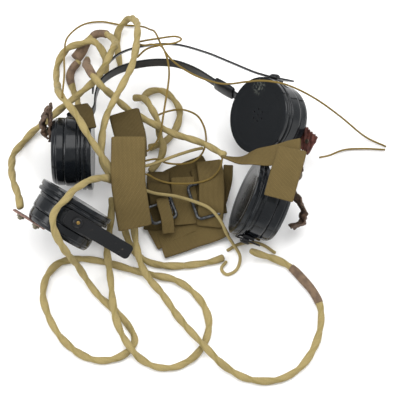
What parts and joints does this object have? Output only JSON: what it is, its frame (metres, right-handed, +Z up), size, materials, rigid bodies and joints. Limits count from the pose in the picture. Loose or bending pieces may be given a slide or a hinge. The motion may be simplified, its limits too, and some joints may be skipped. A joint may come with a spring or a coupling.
{
  "type": "radio headphones",
  "caption": "Tangled military-style radio headphones: round black receivers on a steel headband and a khaki webbing harness, with twisted cotton cords.",
  "frame": {"origin": "on the flat underside of the folded webbing, where the tangle lies on the table", "axes": "+Z up from the table, +X to the right and +Y away from the viewer, who looks down at about 65 degrees"},
  "size_m": [0.3084, 0.326, 0.086],
  "materials": {
    "bakelite_cap": "moulded black bakelite, glossy, dusty in places",
    "bakelite_case": "moulded black bakelite, glossy",
    "bakelite_back": "moulded black bakelite, glossy, worn rim",
    "diaphragm_iron": "thin lacquered iron disc",
    "magnet_steel": "dark magnet steel",
    "coil_copper": "enamelled copper winding",
    "rivet_and_lug": "blackened steel saddle with a worn brass-coloured rivet",
    "fibre_tab": "brown fibre or leather tab with two screws",
    "band_clip": "black enamelled steel",
    "band_steel": "black enamelled spring steel, worn at the edges",
    "end_strip_steel": "black enamelled steel, worn",
    "buckle_steel": "dark oxidised steel",
    "khaki_webbing": "woven khaki cotton webbing, creased and stained",
    "whipping_thread": "waxed brown thread wound tight",
    "cloth_wire": "yellow-brown cloth-covered wire",
    "twisted_cord": "twisted straw-coloured cotton cord, olive in the grooves"
  },
  "bodies": {
    "headbands_and_cords": {"cord_apex_loop": "twisted_cord", "cord_left_leg": "twisted_cord", "cord_left_loop": "twisted_cord", "cord_long_lead": "twisted_cord", "cord_lower_left_lead": "twisted_cord", "cord_right_leg": "twisted_cord", "cord_right_loop": "twisted_cord", "cord_strap_cord": "twisted_cord", "cord_tangle_bight": "twisted_cord", "cord_tangle_ring": "twisted_cord", "cord_y_splitter": "whipping_thread", "inner_band": "band_steel", "lead_over_pile": "cloth_wire", "left_buckle": "buckle_steel", "lower_left_end_strip": "end_strip_steel", "lower_right_end_strip": "end_strip_steel", "outer_band": "band_steel", "right_buckle": "buckle_steel", "thin_lead": "cloth_wire", "webbing_left_fold": "khaki_webbing", "webbing_left_strap": "khaki_webbing", "webbing_pile": "khaki_webbing", "webbing_right_strap": "khaki_webbing", "wire_arc": "cloth_wire", "wire_long": "cloth_wire", "wire_return": "cloth_wire", "wire_swag": "cloth_wire"},
    "upper_left_receiver": {"upper_left_ear_cap": "bakelite_cap", "upper_left_diaphragm": "diaphragm_iron", "upper_left_case": "bakelite_case", "upper_left_magnet": "magnet_steel", "upper_left_coils": "coil_copper", "upper_left_back_cover": "bakelite_back", "upper_left_swivel_lug": "rivet_and_lug", "upper_left_terminal_tab": "fibre_tab"},
    "lower_left_receiver": {"lower_left_ear_cap": "bakelite_cap", "lower_left_diaphragm": "diaphragm_iron", "lower_left_case": "bakelite_case", "lower_left_magnet": "magnet_steel", "lower_left_coils": "coil_copper", "lower_left_back_cover": "bakelite_back", "lower_left_swivel_lug": "rivet_and_lug", "lower_left_terminal_tab": "fibre_tab"},
    "upper_right_receiver": {"upper_right_ear_cap": "bakelite_cap", "upper_right_diaphragm": "diaphragm_iron", "upper_right_case": "bakelite_case", "upper_right_magnet": "magnet_steel", "upper_right_coils": "coil_copper", "upper_right_back_cover": "bakelite_back", "upper_right_swivel_lug": "rivet_and_lug", "upper_right_terminal_tab": "fibre_tab"},
    "lower_right_receiver": {"lower_right_ear_cap": "bakelite_cap", "lower_right_diaphragm": "diaphragm_iron", "lower_right_case": "bakelite_case", "lower_right_magnet": "magnet_steel", "lower_right_coils": "coil_copper", "lower_right_back_cover": "bakelite_back", "lower_right_swivel_lug": "rivet_and_lug", "lower_right_terminal_tab": "fibre_tab"},
    "band_clip": {"band_slider": "band_clip"}
  },
  "joints": [
    {"name": "upper_left_swivel", "type": "hinge", "parent": "headbands_and_cords", "child": "upper_left_receiver", "pos_m": [-0.1, 0.038, 0.031], "axis": [0, 1, 0], "range_deg": [-8, 8]},
    {"name": "lower_left_swivel", "type": "hinge", "parent": "headbands_and_cords", "child": "lower_left_receiver", "pos_m": [-0.10333, -0.02181, 0.03996], "axis": [0.2912, -0.5595, 0.776], "range_deg": [0, 10]},
    {"name": "upper_right_swivel", "type": "hinge", "parent": "headbands_and_cords", "child": "upper_right_receiver", "pos_m": [0.05595, 0.06494, 0.0386], "axis": [0.1305, 0.8984, 0.4193], "range_deg": [-10, 10]},
    {"name": "lower_right_swivel", "type": "hinge", "parent": "headbands_and_cords", "child": "lower_right_receiver", "pos_m": [0.04782, -0.00761, 0.03169], "axis": [-0.3691, -0.8427, -0.3918], "range_deg": [-8, 8]},
    {"name": "band_clip_slide", "type": "slide", "parent": "headbands_and_cords", "child": "band_clip", "axis": [0.8253, -0.5646, 0], "range_m": [-0.01, 0.003]}
  ]
}
